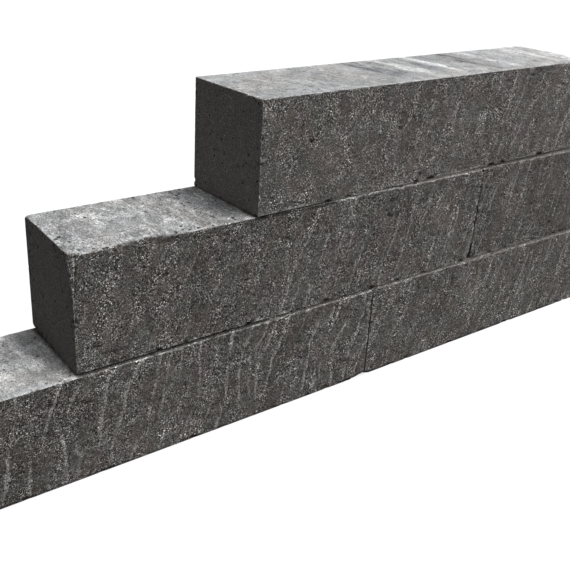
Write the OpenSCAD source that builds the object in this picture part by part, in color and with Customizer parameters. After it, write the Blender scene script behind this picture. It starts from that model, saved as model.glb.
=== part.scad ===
// Stepped dry stack of solid concrete walling blocks, three courses high.
// X runs along the courses, Y from the faces to the backs, Z up. Millimetres.
// The origin is on the ground, under the middle of the stack.

/* [Block] */
// Length of one block, along its course
block_length = 600; // [300:10:1000]
// Depth of one block, from its face to its back
block_depth = 125; // [80:5:300]
// Height of one block, which is the height of a course
block_height = 130; // [80:5:300]
// How much higher the blocks of each course came out, from the bottom course up
height_error = [-3, 2.5, 0.5]; // [-4:0.5:4]
// Radius that the arrises are worn to
arris_radius = 2; // [0.5:0.5:10]

/* [Bond] */
// Dry joint between two blocks of one course
joint_gap = 2; // [0.5:0.5:10]
// Step from the left end of the bottom course to that of the second
second_step = 193; // [0:1:290]
// Step from the left end of the second course to that of the top block
top_step = 215; // [0:1:290]

/* [Laying by hand] */
// Set-back of each bottom block's face, from left to right
bottom_setback = [0, 0.5, 1]; // [0:0.5:20]
// Turn of each bottom block about the vertical, in degrees
bottom_turn = [0, 0, -0.1]; // [-2:0.1:2]
// Set-back of each second-course block's face
second_setback = [5.5, 9]; // [0:0.5:20]
// Turn of each second-course block, in degrees
second_turn = [0.1, 0.1]; // [-2:0.1:2]
// Set-back of the top block's face
top_setback = 13; // [0:0.5:20]
// Turn of the top block, in degrees
top_turn = 1.7; // [-2:0.1:2]

/* [Knocked corners] */
// Flake off the lower right corner of the bottom left block's face, past its arrises along, across and up
bottom_left_flake = [26, 4, 5]; // [1:1:40]
// Chip off the upper left corner of the second left block's face
second_left_upper_chip = [9, 11, 50]; // [1:1:60]
// Chip off the lower right corner of the second left block's face
second_left_lower_chip = [6, 6, 32]; // [1:1:40]
// Chip off the upper right corner of the bottom right block's face
bottom_right_chip = [10, 4, 4]; // [1:1:40]
// Small chip, which several corners have
small_chip = [5, 2, 3]; // [1:1:20]

/* [Spalled arris] */
// Distance of the spall on the second left block's upper face arris from the block's left end
spall_start = 40; // [30:5:100]
// Length of the spall along the arris
spall_length = 95; // [20:5:120]
// Depth of the spall past the worn arris, square to its slope
spall_depth = 3.5; // [1:0.5:6]

/* [Hidden] */
$fn = 48;

concrete = "#57534f";
left = -1;
right = 1;
face = -1;
back = 1;
under = -1;
over = 1;

// How far a cutting shape stands outside the surface that it cuts
overcut = 1;
// Sides of the wide cylinder that scoops a spall
scoop_sides = 240;

// Height of a course, and the height that it starts at
function course_height(course) = block_height + height_error[course];
function course_foot(course) = course == 0 ? 0 : course_foot(course - 1) + course_height(course - 1);

// Room that a turned block takes up along its course, and across it
function reach(turn) = (block_length - 2 * arris_radius) * cos(turn)
    + (block_depth - 2 * arris_radius) * abs(sin(turn)) + 2 * arris_radius;
function spread(turn) = (block_depth - 2 * arris_radius) * cos(turn)
    + (block_length - 2 * arris_radius) * abs(sin(turn)) + 2 * arris_radius;

// Left end of the i-th block of a course that starts at the given place
function left_end(start, turns, i) = i == 0
    ? start
    : left_end(start, turns, i - 1) + reach(turns[i - 1]) + joint_gap;
function middle_x(start, turns, i) = left_end(start, turns, i) + reach(turns[i]) / 2;
function middle_y(setback) = setback + block_depth / 2;

// Outermost faces and backs of the whole stack, which place its middle
setbacks = concat(bottom_setback, second_setback, [top_setback]);
turns = concat(bottom_turn, second_turn, [top_turn]);
front_most = min([for (i = [0 : len(turns) - 1]) middle_y(setbacks[i]) - spread(turns[i]) / 2]);
back_most = max([for (i = [0 : len(turns) - 1]) middle_y(setbacks[i]) + spread(turns[i]) / 2]);
stack_middle_x = (left_end(0, bottom_turn, 2) + reach(bottom_turn[2])) / 2;
stack_middle_y = (front_most + back_most) / 2;

// Rectangle with rounded corners, about its middle
module worn_section(width, height) {
    square([width - 2 * arris_radius, height], center = true);
    square([width, height - 2 * arris_radius], center = true);
    for (x = [-1, 1], y = [-1, 1])
        translate([x * (width / 2 - arris_radius), y * (height / 2 - arris_radius)])
            circle(arris_radius);
}

// One cast block about its middle, every arris worn round. Its course gives $height
module worn_block() {
    intersection() {
        rotate([90, 0, 90])
            linear_extrude(block_length, center = true)
                worn_section(block_depth, $height);
        rotate([90, 0, 0])
            linear_extrude(block_depth, center = true)
                worn_section(block_length, $height);
        linear_extrude($height, center = true)
            worn_section(block_length, block_depth);
    }
}

// Corner piece with one sloping plane, whose legs lie along the three arrises of a corner at the origin
module corner_cut(legs) {
    out = overcut;
    polyhedron(
        points = [
            [-out, -out, -out],
            [legs.x * (1 + out / legs.y + out / legs.z), -out, -out],
            [-out, legs.y * (1 + out / legs.x + out / legs.z), -out],
            [-out, -out, legs.z * (1 + out / legs.x + out / legs.y)],
        ],
        faces = [[0, 1, 2], [0, 2, 3], [0, 3, 1], [1, 3, 2]]
    );
}

// Chip knocked off the corner that the three sides name, measured past the worn arrises
module chip(along, across, upright, size) {
    arris = [arris_radius, arris_radius, arris_radius];
    translate([along * block_length / 2, across * block_depth / 2, upright * $height / 2])
        mirror([along > 0 ? 1 : 0, 0, 0])
            mirror([0, across > 0 ? 1 : 0, 0])
                mirror([0, 0, upright > 0 ? 1 : 0])
                    corner_cut(size + arris);
}

// Shallow scoop off the long arris that the two sides name, which runs out at both its ends
module spall(across, upright) {
    depth = spall_depth + arris_radius * (sqrt(2) - 1);
    radius = (pow(spall_length / 2, 2) + pow(depth, 2)) / (2 * depth);
    middle = spall_start + spall_length / 2 - block_length / 2;
    translate([middle, across * block_depth / 2, upright * $height / 2])
        rotate([across * upright * 45, 0, 0])
            translate([0, across * (radius - depth), 0])
                cylinder(h = 2 * (depth + overcut), r = radius, center = true, $fn = scoop_sides);
}

// Puts a block about its middle at its place in a course
module laid(course, start, course_turns, i, setback) {
    $height = course_height(course);
    translate([
        middle_x(start, course_turns, i) - stack_middle_x,
        middle_y(setback) - stack_middle_y,
        course_foot(course) + $height / 2,
    ])
        rotate([0, 0, course_turns[i]])
            children();
}

module bottom_left_block() {
    color(concrete)
        laid(0, 0, bottom_turn, 0, bottom_setback[0])
            difference() {
                worn_block();
                chip(right, face, under, bottom_left_flake);
            }
}

module bottom_middle_block() {
    color(concrete)
        laid(0, 0, bottom_turn, 1, bottom_setback[1])
            difference() {
                worn_block();
                chip(left, face, under, small_chip);
            }
}

module bottom_right_block() {
    color(concrete)
        laid(0, 0, bottom_turn, 2, bottom_setback[2])
            difference() {
                worn_block();
                chip(right, face, over, bottom_right_chip);
            }
}

module second_left_block() {
    color(concrete)
        laid(1, second_step, second_turn, 0, second_setback[0])
            difference() {
                worn_block();
                chip(left, face, over, second_left_upper_chip);
                chip(left, back, over, small_chip);
                chip(left, back, under, small_chip);
                chip(right, face, under, second_left_lower_chip);
                spall(face, over);
            }
}

module second_right_block() {
    color(concrete)
        laid(1, second_step, second_turn, 1, second_setback[1])
            difference() {
                worn_block();
                chip(left, face, under, small_chip);
                chip(right, back, over, small_chip);
            }
}

module top_block() {
    color(concrete)
        laid(2, second_step + top_step, [top_turn], 0, top_setback)
            difference() {
                worn_block();
                chip(left, face, over, small_chip);
                chip(right, back, over, small_chip);
            }
}

bottom_left_block();
bottom_middle_block();
bottom_right_block();
second_left_block();
second_right_block();
top_block();
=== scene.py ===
# %% [markdown]
# # A stepped stack of concrete walling blocks
# Six long blocks of dark cast concrete stand dry on each other, in three courses. Their faces are
# rough and drawn, with wavy upright ripples and open pores, their beds are pale and scraped, and
# their arrises are worn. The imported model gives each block's place and size, and this lesson gives
# each one its surface.

# %% Load the frame
import math

import bpy
import numpy as np
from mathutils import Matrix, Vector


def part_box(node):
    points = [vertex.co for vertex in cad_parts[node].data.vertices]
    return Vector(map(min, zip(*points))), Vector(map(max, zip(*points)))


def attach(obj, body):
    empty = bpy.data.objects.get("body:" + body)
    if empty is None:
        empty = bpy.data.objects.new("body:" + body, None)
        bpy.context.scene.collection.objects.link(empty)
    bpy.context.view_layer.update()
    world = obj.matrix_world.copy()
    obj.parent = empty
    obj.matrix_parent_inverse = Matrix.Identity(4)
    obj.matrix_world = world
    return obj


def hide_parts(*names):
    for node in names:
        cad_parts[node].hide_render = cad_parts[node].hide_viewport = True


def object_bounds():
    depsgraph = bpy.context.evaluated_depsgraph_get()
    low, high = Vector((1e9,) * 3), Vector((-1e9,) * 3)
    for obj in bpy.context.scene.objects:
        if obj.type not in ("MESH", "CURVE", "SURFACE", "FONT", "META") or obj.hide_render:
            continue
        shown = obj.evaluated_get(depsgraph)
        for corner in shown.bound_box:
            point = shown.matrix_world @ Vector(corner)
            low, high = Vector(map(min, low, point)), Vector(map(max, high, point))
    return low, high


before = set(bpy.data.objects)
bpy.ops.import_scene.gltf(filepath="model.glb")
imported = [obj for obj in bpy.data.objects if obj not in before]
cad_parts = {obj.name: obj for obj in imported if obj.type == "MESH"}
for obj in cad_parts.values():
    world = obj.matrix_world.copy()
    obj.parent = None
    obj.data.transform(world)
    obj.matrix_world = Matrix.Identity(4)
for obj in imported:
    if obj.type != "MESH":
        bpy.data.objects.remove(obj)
cad_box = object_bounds()
print("nodes:", sorted(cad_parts))

# %% [markdown]
# ## The camera
# The camera stands left of the stack and looks down along its faces, a little tilted. Its place,
# turn and lens were fitted to the straight edges of the blocks, so the stack fills the frame as it
# should and runs out of it on both sides.

# %% Set the camera
EYE = (-1.00365, -0.76077, 0.58573)
EYE_TURN = (64.739, -3.434, -37.265)
LENS = 52.781

bpy.ops.object.camera_add(location=EYE, rotation=[math.radians(a) for a in EYE_TURN])
camera = bpy.context.object
camera.data.lens = LENS
bpy.context.scene.camera = camera
print("camera:", tuple(camera.location))

# %% [markdown]
# ## Formulas that write their own nodes
# The relief and the finish are both made of patterns, and both are sums on patterns. Wiring them
# node by node hides the sum, so a small class wraps a socket: adding or multiplying two of them
# adds a Math node, and one method adds any other node. It serves geometry and shaders alike.

# %% A socket that does sums
class Socket:
    """An output socket of a node tree. Sums on it add Math nodes."""

    def __init__(self, tree, output=None):
        self.tree = tree
        self.output = output

    def node(self, kind, settings=None, inputs=None, output=0):
        """Adds a node, with its settings first and then the values or links of its inputs."""
        new = self.tree.nodes.new(kind)
        for name, value in (settings or {}).items():
            setattr(new, name, value)
        for key, value in (inputs or {}).items():
            if isinstance(value, Socket):
                self.tree.links.new(value.output, new.inputs[key])
            else:
                new.inputs[key].default_value = value
        return Socket(self.tree, new.outputs[output] if new.outputs else None)

    def other(self, output):
        """Another output of the same node."""
        return Socket(self.tree, self.output.node.outputs[output])

    def math(self, operation, *values):
        return self.node("ShaderNodeMath", {"operation": operation}, dict(enumerate(values)))

    def __add__(self, value):
        return self.math("ADD", self, value)

    def __sub__(self, value):
        return self.math("SUBTRACT", self, value)

    def __rsub__(self, value):
        return self.math("SUBTRACT", value, self)

    def __mul__(self, value):
        return self.math("MULTIPLY", self, value)

    def __abs__(self):
        return self.math("ABSOLUTE", self)

    __radd__ = __add__
    __rmul__ = __mul__


# %% [markdown]
# ## A few pattern words
# Concrete needs only a few patterns: soft clouds, cells for pores and grains, and a smooth step
# that turns a pattern into a mask. A pattern that is read at a squeezed place comes out stretched,
# so places can be taken apart, scaled along one axis and joined again.

# %% Name the patterns
def clouds(place, scale, detail=2.0, roughness=0.5):
    """Soft noise about 0.5, with one swing in 1 / scale metres."""
    inputs = {"Vector": place, "Scale": scale, "Detail": detail, "Roughness": roughness}
    return place.node("ShaderNodeTexNoise", {}, inputs)


def cells(place, scale):
    """Distance from the nearest of many scattered points, in cells."""
    return place.node("ShaderNodeTexVoronoi", {}, {"Vector": place, "Scale": scale})


def step(value, start, end):
    """Smooth step from 0 at start to 1 at end, which may lie the other way round."""
    settings = {"interpolation_type": "SMOOTHSTEP"}
    inputs = {"Value": value, "From Min": start, "From Max": end}
    return value.node("ShaderNodeMapRange", settings, inputs)


# %% Name the sums on places
def parts(place):
    """The x, y and z of a place."""
    x = place.node("ShaderNodeSeparateXYZ", {}, {0: place})
    return x, x.other(1), x.other(2)


def join(x, y, z):
    """A place from its x, y and z."""
    return x.node("ShaderNodeCombineXYZ", {}, {0: x, 1: y, 2: z})


def shifted(first, second):
    """Sum of two vectors."""
    return first.node("ShaderNodeVectorMath", {"operation": "ADD"}, {0: first, 1: second})


def scaled(vector, factor):
    """A vector or a colour times a value."""
    return factor.node("ShaderNodeVectorMath", {"operation": "SCALE"}, {0: vector, "Scale": factor})


def least(a, b):
    return a.math("MINIMUM", a, b)


def most(a, b):
    return a.math("MAXIMUM", a, b)


# %% [markdown]
# ## What the six blocks are like
# All come from one mould, so they share a length and a depth. Each was laid by hand, a little
# turned, and each has its own marks. A dictionary says how each differs from a plain block, so
# that the same formulas serve all six. Places and sizes in it are in millimetres from the middle
# of the block, and a tone of 1 doubles the brightness while -1 halves it:
#
# - turn is the block's turn about the upright, in degrees;
# - a chip is named by the sides that meet in its corner, and by its reach along, across and up;
# - a spall has a middle, a half length and a width on the upper arris of the face;
# - an open joint runs from one place to another and has a height, under the lower arris;
# - open_end is how far the upright arris at the right end of the face is worn back;
# - out_of_square is how far the left end leans to the right at its back;
# - ripples have a strength at the left end of the face and one at the right;
# - rim is how pale the upper arris of the face is painted, as a highlight, at the left end and at the
#   right;
# - a stain on the face has a middle, a height, a half width and a half height;
# - a scrape on the bed has a middle, a half width and a tone, and straight takes out its bends;
# - face, bed and end are the tones of those sides; the bed tone of the bottom left block is partly
#   painted light;
# - rough and speckle are how strong the grain is, on the face and on the bed.

# %% Measure a plain block
MM = 0.001
COURSES = 3
ARRIS = 2 * MM

straight_low, straight_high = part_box("bottom_left_block")
LENGTH = float(straight_high[0] - straight_low[0])
DEPTH = float(straight_high[1] - straight_low[1])
RISE = float(cad_box[1][2] - cad_box[0][2]) / COURSES

LEFT, RIGHT, FACE, BACK, UNDER, OVER = -1, 1, -1, 1, -1, 1

PLAIN_BLOCK = {
    "turn": 0.0,
    "chips": [],
    "spalls": [],
    "open_joints": [],
    "open_end": 0,
    "out_of_square": 0,
    "ripples": (0.9, 0.9),
    "rim": (1.0, 1.0),
    "stains": [],
    "scrapes": [],
    "straight": 0.0,
    "face": 0.0,
    "bed": 0.0,
    "end": 0.0,
    "rough": 1.0,
    "speckle": 0.8,
}
print("a block is", [round(size / MM) for size in (LENGTH, DEPTH, RISE)], "mm")

# %% Describe the bottom course
SMALL_CHIP = (5, 2, 3)

bottom_course = {
    "bottom_left_block": {
        "chips": [(RIGHT, FACE, UNDER, (26, 4, 5))],
        "ripples": (1.0, 1.25),
        "rim": (1.0, 2.2),
        # The scrapes of this bed are real streaks. Its pale ones at the back, with its bed tone, are
        # also painted light that lifts the shadow of the block above.
        "scrapes": [
            (-250, 25, 0.5), (-195, 14, 0.7), (-165, 12, -0.25), (-140, 9, 0.7), (-118, 10, -0.2),
        ],
        "face": 0.15,
        "bed": 0.35,
        "rough": 1.15,
        "speckle": 0.9,
    },
    "bottom_middle_block": {
        "chips": [(LEFT, FACE, UNDER, SMALL_CHIP)],
        "ripples": (0.6, 0.9),
        "rim": (0.6, 0.6),
        "stains": [(-95, 20, 14, 42)],
        "face": 0.13,
        "rough": 1.2,
    },
    "bottom_right_block": {
        "turn": -0.1,
        "chips": [(RIGHT, FACE, OVER, (10, 4, 4))],
        "ripples": (0.9, 0.6),
        "scrapes": [(-60, 30, -0.5), (20, 20, 0.4), (90, 35, -0.4), (180, 25, 0.3)],
    },
}
print("bottom course:", len(bottom_course), "blocks")

# %% Describe the upper courses
upper_courses = {
    "second_left_block": {
        "turn": 0.1,
        "chips": [
            (LEFT, FACE, OVER, (9, 11, 50)),
            (LEFT, BACK, OVER, SMALL_CHIP),
            (LEFT, BACK, UNDER, SMALL_CHIP),
            (RIGHT, FACE, UNDER, (6, 6, 32)),
        ],
        "spalls": [(-212, 48, 8)],
        "open_joints": [(-300, -75, 0.8), (-75, 130, 0.2)],
        "open_end": 4,
        "out_of_square": 4,
        "ripples": (0.3, 1.0),
        "rim": (1.0, 2.2),
        "scrapes": [(-175, 16, -0.25), (-130, 10, 0.3), (-102, 18, -0.25)],
        "face": 0.13,
        "bed": 0.1,
        "end": -0.22,
        "rough": 1.15,
        "speckle": 1.2,
    },
    "second_right_block": {
        "turn": 0.1,
        "chips": [(LEFT, FACE, UNDER, SMALL_CHIP), (RIGHT, BACK, OVER, SMALL_CHIP)],
        "ripples": (0.9, 0.7),
        "rim": (0.6, 0.6),
        "stains": [(-195, -10, 10, 24)],
        "scrapes": [(-30, 25, -0.5), (60, 30, 0.4), (150, 30, -0.4), (230, 25, 0.3)],
    },
    "top_block": {
        "turn": 1.7,
        "chips": [(LEFT, FACE, OVER, SMALL_CHIP), (RIGHT, BACK, OVER, SMALL_CHIP)],
        "open_joints": [(-300, -195, 0.4), (84, 300, 0.3)],
        "out_of_square": -2,
        "ripples": (0.0, 0.9),
        "scrapes": [
            (-58, 26, -0.45), (-16, 16, 0.8), (14, 12, -0.4), (39, 9, 0.7),
            (70, 12, -0.25), (103, 14, -0.6), (150, 12, 0.4), (265, 45, 0.5),
        ],
        "straight": 0.7,
        "face": 0.14,
        "bed": 0.4,
        "end": 0.25,
        "rough": 1.1,
        "speckle": 0.65,
    },
}
BLOCKS = {node: {**PLAIN_BLOCK, **marks} for node, marks in {**bottom_course, **upper_courses}.items()}
print("blocks in all:", len(BLOCKS))

# %% [markdown]
# ## Casting a block
# A walling block is a plain bar, so a cube is a fair start. Its arrises get a narrow bevel. The
# relief needs many small squares, so every long edge is cut into short ones, first along the
# block, then across, then up. The cuts are closest on the face, which is looked at most. A voxel
# remesh would give even squares too, but it would blunt the arrises.

# %% Select what is worked on
LONG_EDGE = 20 * MM


def only(obj):
    """Makes an object the only one that is selected."""
    bpy.ops.object.select_all(action="DESELECT")
    obj.select_set(True)
    bpy.context.view_layer.objects.active = obj


def select_long_edges(mesh, axis):
    """Selects the long edges that run along an axis."""
    points = np.empty(len(mesh.vertices) * 3)
    mesh.vertices.foreach_get("co", points)
    ends = np.empty(len(mesh.edges) * 2, dtype=np.int32)
    mesh.edges.foreach_get("vertices", ends)
    first, last = points.reshape(-1, 3)[ends.reshape(-1, 2)].swapaxes(0, 1)
    mesh.edges.foreach_set("select", abs(last - first)[:, axis] > LONG_EDGE)


# %% Cast one block about the origin
BEVEL = 1.6 * MM
BEVEL_SEGMENTS = 3
SQUARES = (300, 40, 72)


def cast():
    """A block with bevelled arrises and a skin of small squares."""
    bpy.ops.object.select_all(action="DESELECT")
    bpy.ops.mesh.primitive_cube_add(size=1, scale=(LENGTH, DEPTH, RISE))
    block = bpy.context.object
    block.name = "block_as_cast"
    bpy.ops.object.transform_apply(location=False, rotation=False, scale=True)
    bpy.ops.object.mode_set(mode="EDIT")
    bpy.ops.mesh.select_mode(type="EDGE")
    bpy.ops.mesh.bevel(offset=BEVEL, segments=BEVEL_SEGMENTS, affect="EDGES")
    for axis, squares in enumerate(SQUARES):
        bpy.ops.mesh.select_all(action="DESELECT")
        bpy.ops.object.mode_set(mode="OBJECT")
        select_long_edges(block.data, axis)
        bpy.ops.object.mode_set(mode="EDIT")
        bpy.ops.mesh.subdivide(number_cuts=squares - 1)
    bpy.ops.object.mode_set(mode="OBJECT")
    return block


pattern_block = cast()
print("squares of a block:", len(pattern_block.data.polygons))

# %% [markdown]
# ## Sides and arrises
# The mould leaves the face rough, the scraper leaves the bed pale, and the ends stay smooth and
# dark, so each point has to know its side. Part of the pale of the beds is painted light from above,
# and part of the dark of the ends is painted shade. Vertex groups could say the side, but they would
# have to be painted for each block. A formula on the place serves all six, and it gives the distance
# from the nearest arris as well: of the three distances from the sides, that is the middle one.

# %% Which side a point is on
SIDE_BLUR = 0.5 * MM


def sides(place):
    """Masks of the bed, the end and the face, and the distance from the nearest arris."""
    x, y, z = parts(place)
    from_end = LENGTH / 2 - abs(x)
    from_face = DEPTH / 2 - abs(y)
    from_bed = RISE / 2 - abs(z)
    nearest = least(least(from_end, from_face), from_bed)
    furthest = most(most(from_end, from_face), from_bed)
    from_arris = from_end + from_face + from_bed - nearest - furthest
    bed = step(least(from_end, from_face) - from_bed, -SIDE_BLUR, SIDE_BLUR)
    end = step(least(from_bed, from_face) - from_end, -SIDE_BLUR, SIDE_BLUR)
    face = least(most(1 - bed - end, 0.0), 1.0)
    return bed, end, face, from_arris


def graded(x, ends):
    """A value that goes from the one at the left end of a block to the one at the right end."""
    left, right = ends
    return step(x, LEFT * LENGTH / 2, RIGHT * LENGTH / 2) * (right - left) + left


# %% [markdown]
# ## Ripples
# The mould drags the wet concrete as it is pulled up, so the face tears into upright ripples that
# lean a little. A wave texture would space them evenly. Here the face is ruled into strips, and
# each strip gets one line at a place of its own, bent by soft clouds and frayed by fine ones. The
# lines are drawn only in patches and short runs, as the real ones come and go.

# %% Ripples that the mould has drawn
RIPPLE_LEAN = 0.28
RIPPLE_SWAY = 55 * MM
RIPPLE_WOBBLE = 9 * MM
RIPPLE_SPACING = 21 * MM
RIPPLE_STRAY = 0.7
RIPPLE_JAGS = 6.5 * MM
CREST = 3 * MM


def crests(cast_place, width):
    """Wavy upright lines at uneven distances, 1 on a line and 0 at its width away. Some are faint."""
    x, y, z = parts(cast_place)
    sway = (clouds(cast_place, 8, 1.0) - 0.5) * RIPPLE_SWAY
    wobble = (clouds(cast_place, 50, 3.0) - 0.5) * RIPPLE_WOBBLE
    lines = (x + sway + wobble - z * RIPPLE_LEAN) * (1 / RIPPLE_SPACING)
    strip = lines.math("FLOOR", lines)
    stray = x.node("ShaderNodeTexWhiteNoise", {"noise_dimensions": "1D"}, {"W": strip})
    strength = parts(stray.other("Color"))[1] * 0.7 + 0.4
    away = abs(lines - strip - 0.5 - (stray - 0.5) * RIPPLE_STRAY) * RIPPLE_SPACING
    jagged = (clouds(cast_place, 240, 3.0, 0.6) - 0.5) * RIPPLE_JAGS
    return step(away + jagged, width, width * 0.3) * strength


def drawing(place, cast_place, strengths):
    """How strongly the face is drawn: in patches and short runs, and more at one end."""
    along = parts(place)[0]
    x, y, z = parts(cast_place)
    patches = step(clouds(cast_place, 12, 1.0), 0.30, 0.46)
    runs = step(clouds(join(x, y, z * 0.45), 46, 2.0), 0.40, 0.54)
    return patches * runs * graded(along, strengths)


print("ripples on a face:", round(LENGTH / RIPPLE_SPACING))

# %% [markdown]
# ## Crumbled arrises and spalls
# The arrises of a dry block crumble: grains fall out all along them, short notches open at the
# foot, and a knock takes a longer spall off the upper arris. Sculpting would do it once, for one
# block. Here each kind of wear is a width that is lost, the widths add up, and one formula cuts
# every arris back to a slope of that width.

# %% Grains and notches that have fallen out
NIBBLE = 3.2 * MM
NOTCH = 1.5 * MM
NOTCH_TOP = 5 * MM
NOTCH_FULL = 1.5 * MM
SOUND_FOOT = 20 * MM


def notching(place, cast_place):
    """Short notches along the foot of the face, 1 inside them."""
    x, y, z = parts(place)
    low = step(z - UNDER * RISE / 2, NOTCH_TOP, NOTCH_FULL) * step(y, 0, FACE * DEPTH / 2)
    return step(clouds(cast_place, 80, 3.0), 0.55, 0.62) * low


def crumbling(place, cast_place, notches):
    """Width of the arris that has crumbled away, in metres. The foot is sounder than the rest."""
    x, y, z = parts(place)
    shown = step(y, 0, FACE * DEPTH / 2)
    foot = step(z, 0, UNDER * SOUND_FOOT)
    nibbles = step(clouds(cast_place, 210, 3.0, 0.6), 0.44, 0.68) * NIBBLE
    return nibbles * (0.7 - foot * 0.65) * shown + nibbles * (0.6 - foot * 0.4) + notches * NOTCH


# %% Spalls and the worn end
SPALL_REACH = 10 * MM


def spalling(place, cast_place, spalls):
    """Width that spalls take off the upper arris of the face, in metres."""
    x, y, z = parts(place)
    upper = step(y, 0, FACE * SPALL_REACH) * step(z, 0, SPALL_REACH)
    ragged = step(clouds(cast_place, 75, 5.0, 0.65), 0.30, 0.62)
    lost = 0.0
    for middle, half, width in spalls:
        span = step(abs(x - middle * MM), half * MM, half * MM * 0.6)
        lost = span * upper * ragged * (width * MM) + lost
    return lost


def parting(place, cast_place, width):
    """Width that the upright arris at the right end of the face is rubbed back by, in metres."""
    x, y, z = parts(place)
    right = step(x, 0, RIGHT * LENGTH / 2) * step(y, 0, FACE * DEPTH / 2)
    low = step(z, OVER * RISE / 2, UNDER * RISE / 2)
    return right * (clouds(cast_place, 60, 3.0) + 0.2) * (low * 0.5 + 0.7) * (width * MM)


# %% Arrises cut back
def rubbed(place, lost, parted):
    """Shift that cuts each arris back to a slope, as wide as the part that is lost."""
    x, y, z = parts(place)
    away_x, away_y, away_z = (abs(v) for v in (x, y, z))
    along = most(away_y + away_z - (DEPTH + RISE) / 2 + lost, 0.0) * 0.5
    across = most(away_x + away_z - (LENGTH + RISE) / 2 + lost, 0.0) * 0.5
    upright = most(away_x + away_y - (LENGTH + DEPTH) / 2 + lost + parted, 0.0) * 0.5
    back_x = x.math("SIGN", x) * (0 - across - upright)
    back_y = y.math("SIGN", y) * (0 - along - upright)
    back_z = z.math("SIGN", z) * (0 - along - across)
    return join(back_x, back_y, back_z)


# %% [markdown]
# ## Knocked corners
# A corner breaks along one rough plane. A Boolean with a wedge would cut it too, but it would
# leave long thin faces that the relief can't roughen. So every point that stands over the plane
# is brought down onto it, and the plane itself is made uneven.

# %% Knock a corner off
BROKEN_ROUGH = 3 * MM


def knocked(place, cast_place, chip):
    """Height of a point over the broken plane of a corner, and the shift that brings it down."""
    along, across, upright, reach = chip
    corner_sides = np.array([along, across, upright])
    outward = corner_sides / (np.array(reach) * MM + ARRIS)
    outward = outward / np.linalg.norm(outward)
    corner = corner_sides * [LENGTH / 2, DEPTH / 2, RISE / 2]
    level = outward @ (corner - [along * (reach[0] * MM + ARRIS), 0, 0])
    dot = {0: place, 1: outward}
    height = place.node("ShaderNodeVectorMath", {"operation": "DOT_PRODUCT"}, dot, output=1)
    rough = (clouds(cast_place, 120, 3.0) - 0.5) * BROKEN_ROUGH
    over = most(height - float(level) + rough, 0.0)
    return over, scaled(tuple(-outward), over)


print("knocked corners:", sum(len(facts["chips"]) for facts in BLOCKS.values()))

# %% [markdown]
# ## Open joints
# Cast blocks aren't flat, so a dry joint is shut in some places and stands open in others. The
# blocks have to stay where the imported model has them, so they aren't lifted: only the lower arris
# of the face is raised, by about a millimetre, and the crack under it falls dark by itself. Painted
# shade darkens it more where it gapes. A cast end can be a little out of square too, so two of them
# lean.

# %% Open a joint
JOINT_REACH = 10 * MM
JOINT_END = 20 * MM
LIFTED = 18 * MM
SHUT_JOINT = 0.3 * MM


def opening(along, joints):
    """How open the joint under a block is at a place along it, in metres."""
    height = along * 0
    for first, last, most_open in joints:
        begun = step(along, first * MM - JOINT_END, first * MM)
        not_ended = step(along, last * MM + JOINT_END, last * MM)
        height = begun * not_ended * (most_open * MM) + height
    return height


def gaping(along, joints):
    """How much painted shade the joint under a block gets, from little where it is shut to 1 where it
    gapes.
    """
    return step(opening(along, joints) + SHUT_JOINT, 0, MM)


def lifting(place, cast_place, joints):
    """How far the lower arris of the face stands up from the bed below, in metres."""
    x, y, z = parts(place)
    from_face = y - FACE * DEPTH / 2
    from_foot = z - UNDER * RISE / 2
    low = step(from_face, JOINT_REACH, 0) * step(from_foot, LIFTED, 0)
    ragged = clouds(cast_place, 75, 3.0) * 1.4 + (clouds(cast_place, 220, 2.0) - 0.5) * 2.0 + 0.3
    return low * ragged * opening(x, joints)


# %% Lean an end
def leaning(place, out_of_square):
    """How far the left end of a block is moved to the right, in metres: all of it at the back."""
    x, y, z = parts(place)
    at_end = step(x, 0, LEFT * LENGTH / 2) * step(y, FACE * DEPTH / 2, BACK * DEPTH / 2)
    return at_end * (out_of_square * MM)


# %% [markdown]
# ## Beds under the next course
# A bed is pale only where it lies open. Beside a block that rests on it, a narrow strip of its
# front arris still shows; that strip is dark like the face, and painted shade darkens it most right
# under the block.
# It could be painted by hand, but the boxes of the imported model tell which block lies on which. So
# the strip is worked out from both boxes, turned by the angle between them.

# %% What lies on a bed
ARRIS_SKIN = 5 * MM
ARRIS_TOP = 2 * MM
CREVICE_OUT = 3.5 * MM
CREVICE_FULL = 2 * MM
CREVICE_JAGS = 7 * MM


def rests_on(other, node):
    """Whether the first block lies on the second."""
    low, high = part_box(node)
    other_low, other_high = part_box(other)
    level = abs(other_low[2] - high[2]) < MM
    return level and other_low[0] < high[0] and other_high[0] > low[0]


def measured_from(other, node, x, y):
    """A place on a block, along and across another one that is turned and moved against it."""
    low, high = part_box(node)
    other_low, other_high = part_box(other)
    turn = math.radians(BLOCKS[other]["turn"] - BLOCKS[node]["turn"])
    away_x, away_y = ((other_low[i] + other_high[i] - low[i] - high[i]) / 2 for i in (0, 1))
    along = (x - away_x) * math.cos(turn) + (y - away_y) * math.sin(turn)
    across = (y - away_y) * math.cos(turn) - (x - away_x) * math.sin(turn)
    return along, across


def cover(place, cast_place, node):
    """Whether a point of the bed is beside a block that lies on it, and how much painted shade it gets
    in the crevice under that block.
    """
    x, y, z = parts(place)
    jagged = (clouds(cast_place, 130, 3.0, 0.6) - 0.5) * CREVICE_JAGS
    on_bed = step(z, RISE / 2 - ARRIS_SKIN, RISE / 2 - ARRIS_TOP)
    beside = 0.0
    under = 0.0
    for other, facts in BLOCKS.items():
        if not rests_on(other, node):
            continue
        along, across = measured_from(other, node, x, y)
        within = step(abs(along), LENGTH / 2 + MM, LENGTH / 2 - MM) * on_bed
        crevice = step(abs(across) + jagged, DEPTH / 2 + CREVICE_OUT, DEPTH / 2 + CREVICE_FULL)
        beside = most(within, beside)
        under = most(within * crevice * gaping(along, facts["open_joints"]), under)
    return beside, under


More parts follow.
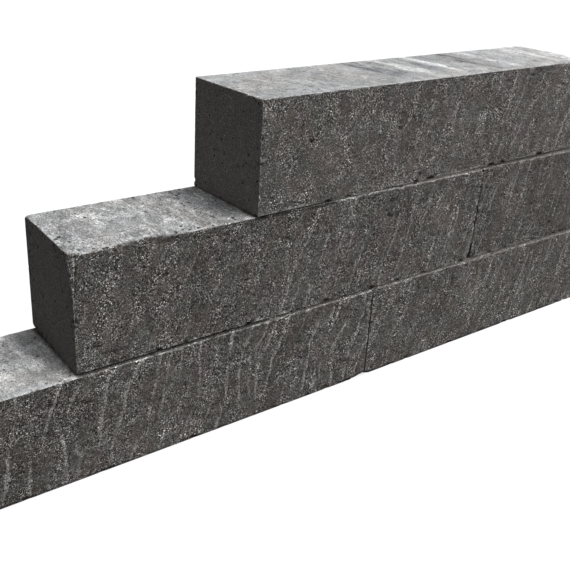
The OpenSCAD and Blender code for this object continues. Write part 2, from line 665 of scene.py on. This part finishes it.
for node in BLOCKS:
    print(node, "carries", [other for other in BLOCKS if rests_on(other, node)])

# %% [markdown]
# ## Scrapes and stains
# A board scrapes the wet bed from back to front and leaves pale and dark bands, which fade before
# they reach the face. Two blocks have a smear of tan on the face. Both are large marks with a
# place of their own, so they are drawn where the dictionary has them, and clouds fray them.

# %% Scrapes on the bed
SCRAPE_BEND = 45 * MM
SCRAPE_SLANT = 0.08
TAIL_FRAY = 90 * MM
TAIL_START = -55 * MM
TAIL_END = -15 * MM


def scraping(place, cast_place, scrapes, straight):
    """Tone that the scrapes give to the bed. They run from the back towards the face."""
    x, y, z = parts(place)
    bend = (clouds(cast_place, 22, 3.0) - 0.5) * (SCRAPE_BEND * (1 - straight)) + y * SCRAPE_SLANT
    tail = step(y + (clouds(cast_place, 25, 2.0) - 0.5) * TAIL_FRAY, TAIL_START, TAIL_END)
    tone = 0.0
    for middle, half, strength in scrapes:
        band = step(abs(x + bend - middle * MM), half * MM, half * MM * 0.6)
        tone = band * tail * strength + tone
    return tone


# %% Stains on the face
def stain(place, cast_place, patch):
    """A smeared patch on the face, 1 in its middle."""
    x, y, z = parts(place)
    middle, height, half, tall = patch
    ragged = (clouds(cast_place, 45, 3.0) - 0.5) * 1.4
    spread = abs(x - middle * MM) * (1 / (half * MM)) + abs(z - height * MM) * (1 / (tall * MM))
    return step(spread + ragged, 1.3, 0.5)


print("scrapes:", sum(len(facts["scrapes"]) for facts in BLOCKS.values()))
print("stains:", sum(len(facts["stains"]) for facts in BLOCKS.values()))

# %% [markdown]
# ## The relief put together
# Geometry Nodes push each point inwards by a depth that a formula gives, so the roughness makes no
# block larger. Ripples and lumps are deepest on the face, and pores are sunk into every side. A
# Displace modifier could do one of these at a time. The node tree does all of them at once, and it
# keeps the masks on the mesh as well, because the finish follows the same places. Each block reads
# the patterns at a place of its own, far from the others, so no two blocks are alike.

# %% Depth of the surface
RIPPLE_DEPTH = 1.2 * MM
FACE_LUMPS = 1.5 * MM
BED_LUMPS = 0.5 * MM
END_LUMPS = 0.3 * MM
PORE_DEPTH = 1.2 * MM


def porous(cast_place, near, face):
    """Round pores, 1 inside them. Beds and ends have more of them near their arrises."""
    chosen = step(clouds(cast_place, 70, 0.0) + near * (1 - face) * 0.15, 0.57, 0.63)
    return step(cells(cast_place, 80), 0.22, 0.10) * chosen


def sunk(cast_place, bed, end, face, drawn, pores):
    """Depth that each point is pushed in by, in metres."""
    crest = crests(cast_place, CREST) * drawn
    lumps = clouds(cast_place, 230, 2.0) * 0.7 + clouds(cast_place, 90, 1.0) * 0.3
    lump_depth = face * FACE_LUMPS + bed * BED_LUMPS + end * END_LUMPS
    return (1 - crest) * face * RIPPLE_DEPTH + (1 - lumps) * lump_depth + pores * PORE_DEPTH


# %% Pale rims with a painted highlight, and painted shade at the feet
RIM = 3 * MM
RIM_FULL = 0.5 * MM
FOOT_TOP = 2 * MM
FOOT_FULL = 0.6 * MM
FOOT_JAGS = 5 * MM
GROUND_SHADE = 4.0
HOLLOW = 11 * MM
HOLLOW_FULL = 3 * MM
HOLLOW_DARK = 2 * MM


def rims(place, from_arris, whole, ends):
    """How pale an arris is: rubbed pale all round and on broken corners, and paler on the upper one of
    the face as a painted highlight.
    """
    x, y, z = parts(place)
    upper = step(z, 0, OVER * RISE / 2) * graded(x, ends)
    return step(from_arris, RIM, RIM_FULL) * (1 + upper) + (1 - whole) * 0.5


def shades(place, cast_place, node, under, notches):
    """How dark the foot of a block is painted: a little all along it, and as painted shade more where
    its joint gapes, on the ground and in its notches, and on its bed in the crevice under the next
    block.
    """
    x, y, z = parts(place)
    foot_level = UNDER * RISE / 2
    uneven = (clouds(cast_place, 130, 3.0, 0.6) - 0.5) * FOOT_JAGS
    foot = step(z + uneven, foot_level + FOOT_TOP, foot_level + FOOT_FULL)
    gap = gaping(x, BLOCKS[node]["open_joints"])
    on_ground = GROUND_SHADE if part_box(node)[0][2] < MM else 0.0
    # Painted shade: the foot is darker where the joint gapes and on the ground, notches are painted
    # nearly black, and the bed in the crevice under the next block is darkened.
    return foot * (gap * 1.5 + 0.7 + on_ground) + under * 4 + notches * 6


def hollows(spalled, from_arris):
    """How dark the hollow of a spall is painted, as a darker fresh break and as painted shade in the
    hollow: 1 where a width of HOLLOW_DARK is lost.
    """
    return spalled * step(from_arris, HOLLOW, HOLLOW_FULL) * (1 / HOLLOW_DARK)


# %% Keep a mask on the mesh
def keep(geometry, name, value, kind="FLOAT"):
    """Stores a value on the mesh's points under a name."""
    inputs = {"Geometry": geometry, "Name": name, "Value": value}
    return geometry.node("GeometryNodeStoreNamedAttribute", {"data_type": kind}, inputs)


def empty_relief(node):
    """A new tree of Geometry Nodes, which takes a mesh and gives one back."""
    tree = bpy.data.node_groups.new(node + "_relief", "GeometryNodeTree")
    tree.interface.new_socket("Geometry", in_out="INPUT", socket_type="NodeSocketGeometry")
    tree.interface.new_socket("Geometry", in_out="OUTPUT", socket_type="NodeSocketGeometry")
    return tree


# %% Put the relief together
CAST_APART = (3.7, 1.3, 2.1)
NEAR_ARRIS = 12 * MM
NEAR_FULL = 2 * MM
SOUND_BLUR = 0.4 * MM
BROKEN_BLUR = 0.6 * MM


def relief(node, seed):
    """Geometry nodes that roughen one block and keep its masks."""
    facts = BLOCKS[node]
    tree = empty_relief(node)
    start = Socket(tree)
    block = start.node("NodeGroupInput")
    place = start.node("GeometryNodeInputPosition")
    normal = start.node("GeometryNodeInputNormal")
    cast_place = shifted(place, [seed * apart for apart in CAST_APART])

    bed, end, face, from_arris = sides(place)
    near = step(from_arris, NEAR_ARRIS, NEAR_FULL)
    drawn = drawing(place, cast_place, facts["ripples"]) * face
    pores = porous(cast_place, near, face)
    shift = scaled(normal, 0 - sunk(cast_place, bed, end, face, drawn, pores))

    notches = notching(place, cast_place)
    spalled = spalling(place, cast_place, facts["spalls"])
    lost = crumbling(place, cast_place, notches) + spalled
    sound = step(from_arris - lost * 0.8, -SOUND_BLUR, SOUND_BLUR)
    shift = shifted(shift, rubbed(place, lost, parting(place, cast_place, facts["open_end"])))
    whole = 1.0
    for chip in facts["chips"]:
        over, back = knocked(place, cast_place, chip)
        shift = shifted(shift, back)
        whole = step(over, BROKEN_BLUR, 0) * whole
    lift = lifting(place, cast_place, facts["open_joints"])
    shift = shifted(shift, join(leaning(place, facts["out_of_square"]), 0.0, lift))

    beside, under = cover(place, cast_place, node)
    pale = rims(place, from_arris, whole, facts["rim"])
    dark = shades(place, cast_place, node, under, notches) + hollows(spalled, from_arris)
    smeared = 0.0
    for patch in facts["stains"]:
        smeared = most(stain(place, cast_place, patch) * face, smeared)

    kept = keep(block, "cast_place", cast_place, "FLOAT_VECTOR")
    for label, value in {
        "bed": bed * whole * sound * (1 - beside),
        "end": end * whole * sound,
        "drawn": drawn,
        "pores": pores,
        # Pale rubbed arrises, with a painted highlight on the upper arris of the face, less painted
        # shade at the feet, in joints and crevices and in spall hollows.
        "worn": pale - dark,
        "near": near,
        "scraped": scraping(place, cast_place, facts["scrapes"], facts["straight"]),
        "smeared": smeared,
        "rough": facts["rough"],
        "speckle": facts["speckle"],
        "face_tone": facts["face"],
        "bed_tone": facts["bed"],
        "end_tone": facts["end"],
    }.items():
        kept = keep(kept, label, value)
    pushed = start.node("GeometryNodeSetPosition", {}, {"Geometry": kept, "Offset": shift})
    start.node("NodeGroupOutput", {}, {"Geometry": pushed})
    return tree


# %% [markdown]
# ## Colours of the concrete
# One mix made all the blocks: a warm grey binder that turns cooler and rosier in patches, pale
# sand, and black where a pore lies in shade. The beds are paler, partly because the scraper brings up
# chalky water and partly as painted light, as they face up to the light. The ends are darker, partly
# as painted shade. Colours are mixed with Mix nodes, and tones are counted in doublings, so that
# equal steps look equal to the eye.

# %% Name the colours
WARM_BINDER = (0.173, 0.152, 0.137, 1)
COOL_BINDER = (0.158, 0.154, 0.144, 1)
ROSE_BINDER = (0.172, 0.149, 0.145, 1)
GREY_BINDER = (0.155, 0.151, 0.146, 1)
PALE_SAND = (0.80, 0.78, 0.755, 1)
PORE_BLACK = (0.015, 0.014, 0.013, 1)
SMEAR_TAN = (0.24, 0.22, 0.175, 1)
# The bed colours are pale partly as painted light, since the beds face up to the light.
BED_WARM = (0.284, 0.280, 0.276, 1)
BED_COOL = (0.274, 0.278, 0.283, 1)
BED_DARK = (0.135, 0.139, 0.147, 1)
BED_CHALK = (0.50, 0.50, 0.50, 1)
# The end colour is darker than the binder partly as painted shade.
END_DARK = (0.113, 0.107, 0.104, 1)


def blend(factor, first, second):
    """Mixes two colours."""
    settings = {"data_type": "RGBA"}
    return factor.node("ShaderNodeMix", settings, {"Factor": factor, "A": first, "B": second}, output=2)


def toned(colour, tone):
    """Makes a colour lighter or darker. A tone of 1 doubles it and -1 halves it."""
    colour = colour if isinstance(colour, Socket) else colour[:3]
    return scaled(colour, tone.math("POWER", 2.0, tone))


# %% [markdown]
# ## Grains
# Grains of sand are cells of a Voronoi texture. Each cell also draws a random colour, and its three
# channels serve as three lots: is this grain pale, is it a hole, how bright is it. Plain cells look
# like a honeycomb, so the place that they are read at is torn a little by clouds first. All sides
# share the same grains, so one class holds them with the other patterns of the mix.

# %% Cells with lots
def grains(place, size):
    """Distance from the middle of a grain, in grains, and three numbers drawn for that grain."""
    distance = cells(place, 1 / size)
    return (distance,) + parts(distance.other("Color"))


def torn(place, size, scale):
    """A place that is moved about a little, so that round cells get ragged outlines."""
    moves = clouds(place, scale, 2.0).other("Color")
    inputs = {0: moves, 1: (size, size, size), 2: place}
    return place.node("ShaderNodeVectorMath", {"operation": "MULTIPLY_ADD"}, inputs)


# %% Patterns of the mix
GRAIN = 0.95 * MM
PIT = 4.4 * MM
PIT_TORN = 3 * MM


class Mix:
    """The patterns that face, bed and end share, at the place where a point was cast."""

    def __init__(self, start):
        self.start = start
        self.place = start.node("ShaderNodeAttribute", {"attribute_name": "cast_place"}, output=1)
        self.x, self.y, self.z = parts(self.place)
        # The pale rubbed arrises with their painted highlight, less the painted shade at feet, joints,
        # crevices and spall hollows.
        self.worn = self.mask("worn")
        self.near = self.mask("near")
        self.pores = self.mask("pores")
        self.from_grain, lot = grains(self.place, GRAIN)[:2]
        self.grain = lot * 2 - 1
        self.odd = self.grain * self.grain * self.grain * self.grain * self.grain
        self.dark = least(self.odd, 0.0)
        self.fine = clouds(self.place, 560, 3.0, 0.6) - 0.5
        self.crowd = clouds(self.place, 85, 3.0) - 0.5
        self.crest = crests(self.place, CREST) * self.mask("drawn")
        from_pit, chance = grains(torn(self.place, PIT_TORN, 300), PIT)[:2]
        chosen = step(chance + self.near * 0.13 + self.crowd * 0.2, 0.965, 0.985)
        self.pits = step(from_pit, 0.52, 0.40) * chosen

    def mask(self, name):
        """A mask that the relief has kept on the mesh."""
        return self.start.node("ShaderNodeAttribute", {"attribute_name": name}, output=2)


# %% [markdown]
# ## The face
# The face is dark and warm. It is crumbly in places and denser in others, and the crumbly places
# have stronger grain and painted shade between their grains. Pale sand shows most on the crests of
# the ripples and on the arrises, which are also painted paler as a highlight, and black holes gather
# in their lee as painted shade. Each number below is how much a pattern adds: to the tone, in
# doublings, or to the chance of a grain being sand or a hole.

# %% Sand and holes
SPECK = 1.2 * MM
SPECK_TORN = 1.1 * MM
LEE = 4 * MM
LEE_WIDTH = 2.4 * MM


def sand_and_holes(mix, crumbly, broken):
    """Masks of the pale grains of sand and of the black holes."""
    drawn_place = join(mix.x - mix.z * RIPPLE_LEAN, mix.y, mix.z * 0.7)
    from_speck, pale, black, bright = grains(torn(drawn_place, SPECK_TORN, 600), SPECK)
    speck = step(from_speck, 0.56, 0.42)
    likely = pale + mix.crowd * 0.4 + crumbly * 0.17 - 0.03 + mix.near * 0.1
    likely = likely + mix.crest * 0.75 + mix.worn * 0.5 + broken * 1.5
    sand = step(likely, 0.84, 0.88) * speck * (bright * 0.7 + 0.3)
    # Painted shade: black holes are more likely on the shaded side of each ripple crest.
    lee = crests(shifted(mix.place, (-LEE, 0, 0)), LEE_WIDTH) * mix.mask("drawn") * (1 - mix.crest)
    cavity = black - mix.crowd * 0.4 + crumbly * 0.1 - mix.crest * 0.3 + lee * 0.25 + mix.near * 0.08
    holes = step(cavity, 0.80, 0.84) * speck
    return sand, most(holes, mix.pores)


# %% Colour of the face
def binder_colour(mix, tone):
    """Colour of the binder, which is greyer where it is light."""
    binder = blend(step(clouds(mix.place, 30, 3.0), 0.38, 0.62), WARM_BINDER, COOL_BINDER)
    binder = blend(step(clouds(mix.place, 41, 3.0), 0.50, 0.65), binder, ROSE_BINDER)
    binder = blend(mix.mask("smeared") * 0.6, binder, SMEAR_TAN)
    return blend(step(tone, 0.3, 1.6) * 0.8, binder, GREY_BINDER)


def face_colour(mix):
    """Colour of the face, with the masks of its sand and holes."""
    drawn_place = join(mix.x - mix.z * RIPPLE_LEAN, mix.y, mix.z * 0.5)
    crumbly = step(clouds(drawn_place, 58, 4.0, 0.6), 0.36, 0.64)
    # Painted shade between the grains in the crumbly places.
    crevice = step(mix.from_grain, 0.50, 0.80) * crumbly
    broken = most(mix.worn, 0.0) * (clouds(mix.place, 150, 3.0) - 0.5)
    broad = clouds(join(mix.x, mix.y, mix.z * 0.5), 24, 3.0) - 0.5
    rough = mix.mask("rough") * (crumbly * 1.3 + 0.5)
    tone = (mix.grain * 0.6 + mix.dark + mix.odd * 1.4 + mix.fine * 2.2) * rough
    # The ripple crests are paler partly as pale sand and partly as a painted highlight where they catch
    # the light.
    tone = tone + mix.crowd + broad * 1.3 + mix.crest * 0.6 + mix.worn * 0.4
    tone = tone + broken * 3.5 + mix.mask("face_tone") - crevice * 0.8
    sand, holes = sand_and_holes(mix, crumbly, broken)
    face = blend(sand, toned(binder_colour(mix, tone), tone), PALE_SAND)
    return blend(holes * 0.85, face, PORE_BLACK), sand, holes


# %% [markdown]
# ## The bed and the end
# The bed is pale and cloudy. Flakes of it differ a little in tone, pale wisps and dark furrows run
# from front to back as the scraper went, and a few pits are left. A noise makes one wisp where it
# passes through one value, so wisps and furrows are thin bands of the same stretched clouds. The
# end is smooth and dark, with some grain and a few pits.

# %% Tone of the bed
FLAKE = 13 * MM
FLAKE_TORN = 16 * MM
BAND = 0.03


def bed_tone(mix, speckle):
    """How light or dark the bed is, apart from its scrapes."""
    mottle = clouds(mix.place, 45, 5.0, 0.6) - 0.5
    dragged = clouds(join(mix.x, mix.y * 0.4, mix.z), 32, 4.0, 0.6)
    wisps = step(abs(dragged - 0.52), BAND, 0.0)
    furrows = step(abs(dragged - 0.45), BAND, 0.0) * step(clouds(mix.place, 17, 2.0), 0.42, 0.58)
    flake = grains(torn(mix.place, FLAKE_TORN, 70), FLAKE)[1] - 0.5
    spotted = mix.grain * 0.6 + mix.dark * 1.2 + mix.fine * 2.2 + mottle * 1.4
    spotted = spotted + wisps * 0.45 - furrows * 0.7 + flake * 0.4
    broad = clouds(mix.place, 14, 3.0) - 0.5
    return spotted * speckle + broad + mix.mask("bed_tone") + mix.worn * 0.25 + mix.near * 0.15


# %% Colours of the bed and the end
SCRAPE_FULL = 0.9


def bed_colour(mix):
    """Colour of the bed, with its scrapes and pits."""
    speckle = mix.mask("speckle")
    streaks = clouds(join(mix.x, mix.y * 0.3, mix.z), 70, 4.0, 0.6)
    scraped = mix.mask("scraped") * (step(streaks, 0.40, 0.60) * 1.4 + 0.3)
    bed = blend(step(clouds(mix.place, 18, 2.0), 0.38, 0.62), BED_WARM, BED_COOL)
    chalky = step(clouds(mix.place, 55, 5.0, 0.6), 0.53, 0.60)
    bed = blend(chalky * speckle * 0.35, bed, BED_CHALK)
    bed = blend(step(scraped, 0, -SCRAPE_FULL), bed, BED_DARK)
    bed = blend(step(scraped, 0, SCRAPE_FULL), bed, BED_CHALK)
    bed = toned(bed, bed_tone(mix, speckle))
    bed = blend(mix.pits * speckle * 0.8, bed, PORE_BLACK)
    return blend(mix.pores * 0.8, bed, PORE_BLACK)


def end_colour(mix):
    """Colour of the end, with its pits."""
    tone = mix.odd + mix.grain * 0.3 + mix.fine * 1.3 + mix.crowd * 0.4 + mix.mask("end_tone")
    end = blend(mix.pits * 0.9, toned(END_DARK, tone), PORE_BLACK)
    return blend(mix.pores * 0.7, end, PORE_BLACK)


# %% [markdown]
# ## One material for all
# One material dresses every block, because one mix made them, and the masks say where it is face,
# bed or end. Ripples and pores are real relief already. What is finer than the squares of the mesh
# is left to a Bump node: single grains, sand that stands out and holes that lie deep. Dry concrete
# has next to no gloss.

# %% Finish the concrete
BUMP_HEIGHT = 1.1 * MM
BUMP_STRENGTH = 0.9
DRY_ROUGHNESS = 0.92
DRY_GLOSS = 0.05


def concrete_finish():
    """One material for every block, which reads the masks on its mesh."""
    material = bpy.data.materials.new("cast_concrete")
    material.use_nodes = True
    material.node_tree.nodes.clear()
    start = Socket(material.node_tree)
    mix = Mix(start)
    on_end = mix.mask("end")
    on_bed = mix.mask("bed")
    face, sand, holes = face_colour(mix)
    colour = blend(on_end, face, end_colour(mix))
    colour = blend(on_bed, colour, bed_colour(mix))

    lump = step(mix.from_grain, 0.7, 0.0) * (mix.odd * 0.5 + 0.5)
    height = lump + mix.fine * 2.5 + sand * 0.5 - holes + mix.crest
    height = height * (1 - on_end * 0.8 - on_bed * 0.6)
    bumps = {"Height": height, "Distance": BUMP_HEIGHT, "Strength": BUMP_STRENGTH}
    surface = start.node("ShaderNodeBsdfPrincipled", {}, {
        "Base Color": colour,
        "Roughness": DRY_ROUGHNESS,
        "Specular IOR Level": DRY_GLOSS,
        "Normal": start.node("ShaderNodeBump", {}, bumps),
    })
    start.node("ShaderNodeOutputMaterial", {}, {"Surface": surface})
    return material


concrete = concrete_finish()
print("nodes in the finish:", len(concrete.node_tree.nodes))

# %% [markdown]
# ## Laying the stack
# Each block is cast about the origin, roughened, turned by hand and moved to where the packed
# model has it. The courses came out a little lower or higher than the mould, so a block is also
# brought to the height of its course. Its turn and place are applied, so that the finished piece
# sits at the origin.

# %% Lay the blocks
def lay(node, seed):
    """Casts, roughens and lays one block in the place of its node."""
    only(pattern_block)
    bpy.ops.object.duplicate()
    block = bpy.context.object
    block.name = node + "_cast"
    rough = block.modifiers.new("relief", "NODES")
    rough.node_group = relief(node, seed)
    bpy.ops.object.modifier_apply(modifier=rough.name)
    bpy.ops.object.shade_smooth()
    low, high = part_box(node)
    block.location = [(a + b) / 2 for a, b in zip(low, high)]
    block.rotation_euler.z = math.radians(BLOCKS[node]["turn"])
    block.scale.z = (high[2] - low[2]) / RISE
    bpy.ops.object.transform_apply(location=True, rotation=True, scale=True)
    block.data.materials.append(concrete)
    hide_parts(node)
    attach(block, "root")
    return block


triangles = 0
for seed, node in enumerate(BLOCKS, start=1):
    block = lay(node, seed)
    count = sum(len(p.vertices) - 2 for p in block.data.polygons)
    triangles += count
    print(node, count, "triangles")
bpy.data.objects.remove(pattern_block)
print("in all", triangles, "triangles")

# %% [markdown]
# ## The floor
# The floor is pale and shows white, but it throws little light back, as a ground further away
# would. A plain white floor would light the feet of the blocks from below, so a Light Path node
# tells the rays that show the floor from those that only carry its light, and each kind gets a
# shader of its own.

# %% Floor
FLOOR_SIZE = 60
DULL = (0.08, 0.08, 0.08, 1)
PALE = (0.9, 0.9, 0.9, 1)
WHITE = (1, 1, 1, 1)


def shown_rays(start):
    """1 for rays that show the background: from the camera, from gloss and through glass."""
    camera_ray = start.node("ShaderNodeLightPath")
    glossy_ray = camera_ray.other("Is Glossy Ray")
    return most(most(camera_ray, glossy_ray), camera_ray.other("Is Transmission Ray"))


bpy.ops.object.select_all(action="DESELECT")
bpy.ops.mesh.primitive_plane_add(size=FLOOR_SIZE)
floor = bpy.context.object
floor.name = "floor"
paper = bpy.data.materials.new("floor_paper")
paper.use_nodes = True
paper.node_tree.nodes.clear()
start = Socket(paper.node_tree)
dull = start.node("ShaderNodeBsdfDiffuse", {}, {"Color": DULL})
pale = start.node("ShaderNodeBsdfDiffuse", {}, {"Color": PALE})
glow = start.node("ShaderNodeEmission", {}, {"Color": WHITE, "Strength": 1.0})
bright = start.node("ShaderNodeMixShader", {}, {0: 0.5, 1: pale, 2: glow})
mixed = start.node("ShaderNodeMixShader", {}, {0: shown_rays(start), 1: dull, 2: bright})
start.node("ShaderNodeOutputMaterial", {}, {"Surface": mixed})
floor.data.materials.append(paper)
print("floor:", FLOOR_SIZE, "m wide")

# %% [markdown]
# ## The light
# The light comes from high on the right and a little from the front, so the beds are bright, the
# faces are grazed and the left ends lie in shade. One broad sun gives soft shadows, as a large
# lamp would, without hot spots on the nearer blocks, and a weak sky fills the shade.

# %% Light
SKY = 0.30
SUN = 3.6
SUN_SPREAD = 45
SUN_PLACE = (2, -2, 3)
TOWARDS_SUN = (0.34, -0.26, 0.90)

world = bpy.data.worlds.new("studio")
world.use_nodes = True
world.node_tree.nodes.clear()
start = Socket(world.node_tree)
strength = shown_rays(start) * (1 - SKY) + SKY
sky = start.node("ShaderNodeBackground", {}, {"Color": WHITE, "Strength": strength})
start.node("ShaderNodeOutputWorld", {}, {"Surface": sky})
bpy.context.scene.world = world

bpy.ops.object.light_add(type="SUN", location=SUN_PLACE)
sun = bpy.context.object
sun.data.energy = SUN
sun.data.angle = math.radians(SUN_SPREAD)
right, front, up = TOWARDS_SUN
sun.rotation_euler = (math.atan2(math.hypot(right, front), up), 0, math.atan2(right, -front))
bpy.context.scene.view_settings.view_transform = "Standard"
print("sun over the ground:", round(90 - math.degrees(sun.rotation_euler[0])), "degrees")

# %% [markdown]
# ## The end


print("done")
